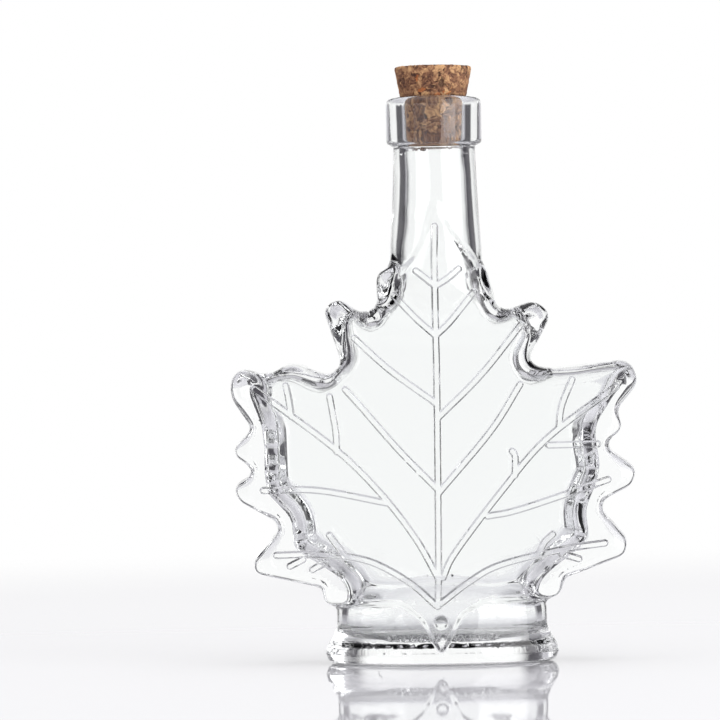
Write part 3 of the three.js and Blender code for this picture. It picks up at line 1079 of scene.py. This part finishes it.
def studio_world(looks):
    """A bright backdrop, dimmer panels on the other sides, a pale ground, and dark gaps between them."""
    world = bpy.data.worlds.new("studio")
    bpy.context.scene.world = world
    world.use_nodes = True
    shader = Shader(world.node_tree)
    direction = shader.node("ShaderNodeTexCoord", output="Generated")
    right, ahead, up = (
        shader.node("ShaderNodeSeparateXYZ", {}, {"Vector": direction}, name) for name in "XYZ"
    )

    def ramp(value, low, high):
        """0 at one value, 1 at another, and a soft ramp between them."""
        return shader.node(
            "ShaderNodeMapRange",
            {"interpolation_type": "SMOOTHSTEP"},
            {"Value": value, "From Min": low, "From Max": high},
        )

    def glow(colour, strength):
        """One brightness of the room."""
        return shader.node("ShaderNodeBackground", {}, {"Color": (*colour, 1.0), "Strength": strength})

    def mixed(share, low, high):
        """One glow where the share is 0, another where it is 1."""
        return shader.node("ShaderNodeMixShader", {}, {0: share, 1: low, 2: high})

    panels = ramp(right * right, 0.7, 0.86) + ramp(0.0 - ahead, 0.83, 0.93) + ramp(up, 0.5, 0.66)
    gaps = mixed(ramp(up, 0.15, 0.45), glow(looks.gaps, 1.0), glow(looks.gaps, 0.6))
    room = mixed(panels, gaps, glow(looks.side_panels, 1.0))
    bright = glow((1.0, 1.0, 1.0), looks.backdrop)
    low = mixed(ramp(0.0 - up, 0.12, 0.4), bright, glow(looks.ground, 1.0))
    lit = mixed(ramp(0.0 - up, 0.07, 0.16), mixed(ramp(ahead, 0.83, 0.93), room, bright), low)
    shader.node("ShaderNodeOutputWorld", {}, {"Surface": lit})


def table_top():
    """A pale glossy table that fades away into the backdrop."""
    mesh = bpy.data.meshes.new("table")
    size = 0.62
    corners = [(-size, -size, 0), (size, -size, 0), (size, size, 0), (-size, size, 0)]
    mesh.from_pydata(corners, [], [(0, 1, 2, 3)])
    table = bpy.data.objects.new("table", mesh)
    bpy.context.collection.objects.link(table)
    material, shader = new_material("pale_acrylic")
    place = shader.node("ShaderNodeTexCoord", output="Object")
    distance = shader.node("ShaderNodeVectorMath", {"operation": "LENGTH"}, {0: place}, "Value")
    faded = shader.node(
        "ShaderNodeMapRange",
        {"interpolation_type": "SMOOTHSTEP"},
        {"Value": distance, "From Min": 0.3, "From Max": 0.6, "To Min": 1.0, "To Max": 0.0},
    )
    surface = shader.node(
        "ShaderNodeBsdfPrincipled",
        {},
        {"Base Color": (0.72, 0.717, 0.74, 1.0), "Roughness": 0.03, "IOR": 1.45, "Alpha": faded},
    )
    shader.node("ShaderNodeOutputMaterial", {}, {"Surface": surface})
    mesh.materials.append(material)


def softbox(name, place, aim, size, power, mirrored, seen_through):
    """A square lamp that faces a point, mirrored by the glass or not, seen through it or not."""
    data = bpy.data.lights.new(name, "AREA")
    data.shape = "RECTANGLE"
    data.size, data.size_y = size
    data.energy = power
    lamp = bpy.data.objects.new(name, data)
    bpy.context.collection.objects.link(lamp)
    lamp.visible_glossy = mirrored
    lamp.visible_transmission = seen_through
    lamp.location = place
    lamp.rotation_euler = (Vector(aim) - Vector(place)).to_track_quat("-Z", "Y").to_euler()


def photo_camera(looks):
    """A long lens level with the bottle's middle, a metre away, turned a little about its own line."""
    data = bpy.data.cameras.new("camera")
    camera = bpy.data.objects.new("camera", data)
    bpy.context.collection.objects.link(camera)
    pixel = 0.2435 * MM
    picture_width = 720 * pixel
    data.sensor_width = 36.0
    data.lens = 36.0 * looks.distance / picture_width
    camera.location = (0, -looks.distance, 0.0734)
    aim = Vector((-0.0189, 0, 0.0737))
    toward = (aim - camera.location).to_track_quat("-Z", "Y")
    camera.rotation_euler = (toward @ Quaternion((0, 0, 1), math.radians(-0.965))).to_euler()
    bpy.context.scene.camera = camera
    return camera


class LEAFBOTTLE_OT_stage(bpy.types.Operator):
    """Set the table, the light and the camera"""

    bl_idname = "leafbottle.stage"
    bl_label = "Set stage"

    def execute(self, context):
        looks = context.scene.leafbottle_studio
        studio_world(looks)
        table_top()
        softbox("key", (0.69, -0.58, 0.34), (0, 0, 0.1), (0.95, 0.85), 7.4, True, True)
        softbox("fill", (-0.66, -0.61, 0.3), (0, 0, 0.1), (0.8, 0.8), 2.4, False, True)
        softbox("overhead", (0, 0, 1.1), (0, 0, 0), (1.0, 1.0), 6.5, False, False)
        photo_camera(looks)
        cycles = context.scene.cycles
        cycles.max_bounces = 24
        cycles.transmission_bounces = 24
        cycles.glossy_bounces = 8
        context.scene.view_settings.view_transform = "Standard"
        return {"FINISHED"}


class LEAFBOTTLE_PT_panel(bpy.types.Panel):
    """Buttons and values for the leaf bottle"""

    bl_idname = "LEAFBOTTLE_PT_panel"
    bl_label = "Leaf bottle"
    bl_space_type = "VIEW_3D"
    bl_region_type = "UI"
    bl_category = "Leaf bottle"

    def draw(self, context):
        layout = self.layout
        scene = context.scene
        for group in (scene.leafbottle_sizes, scene.leafbottle_cork, scene.leafbottle_studio):
            for name in group.bl_rna.properties.keys():
                if name not in {"rna_type", "name"}:
                    layout.prop(group, name)
        layout.operator("leafbottle.glass")
        layout.operator("leafbottle.cork")
        layout.operator("leafbottle.stage")


CLASSES = (
    BottleSizes,
    CorkLooks,
    StudioLooks,
    LEAFBOTTLE_OT_glass,
    LEAFBOTTLE_OT_cork,
    LEAFBOTTLE_OT_stage,
    LEAFBOTTLE_PT_panel,
)


def register():
    for kind in CLASSES:
        bpy.utils.register_class(kind)
    bpy.types.Scene.leafbottle_sizes = bpy.props.PointerProperty(type=BottleSizes)
    bpy.types.Scene.leafbottle_cork = bpy.props.PointerProperty(type=CorkLooks)
    bpy.types.Scene.leafbottle_studio = bpy.props.PointerProperty(type=StudioLooks)


def unregister():
    del bpy.types.Scene.leafbottle_studio
    del bpy.types.Scene.leafbottle_cork
    del bpy.types.Scene.leafbottle_sizes
    for kind in reversed(CLASSES):
        bpy.utils.unregister_class(kind)


def main():
    register()
    bpy.ops.leafbottle.glass()
    bpy.ops.leafbottle.cork()
    bpy.ops.leafbottle.stage()


if __name__ == "__main__":
    main()
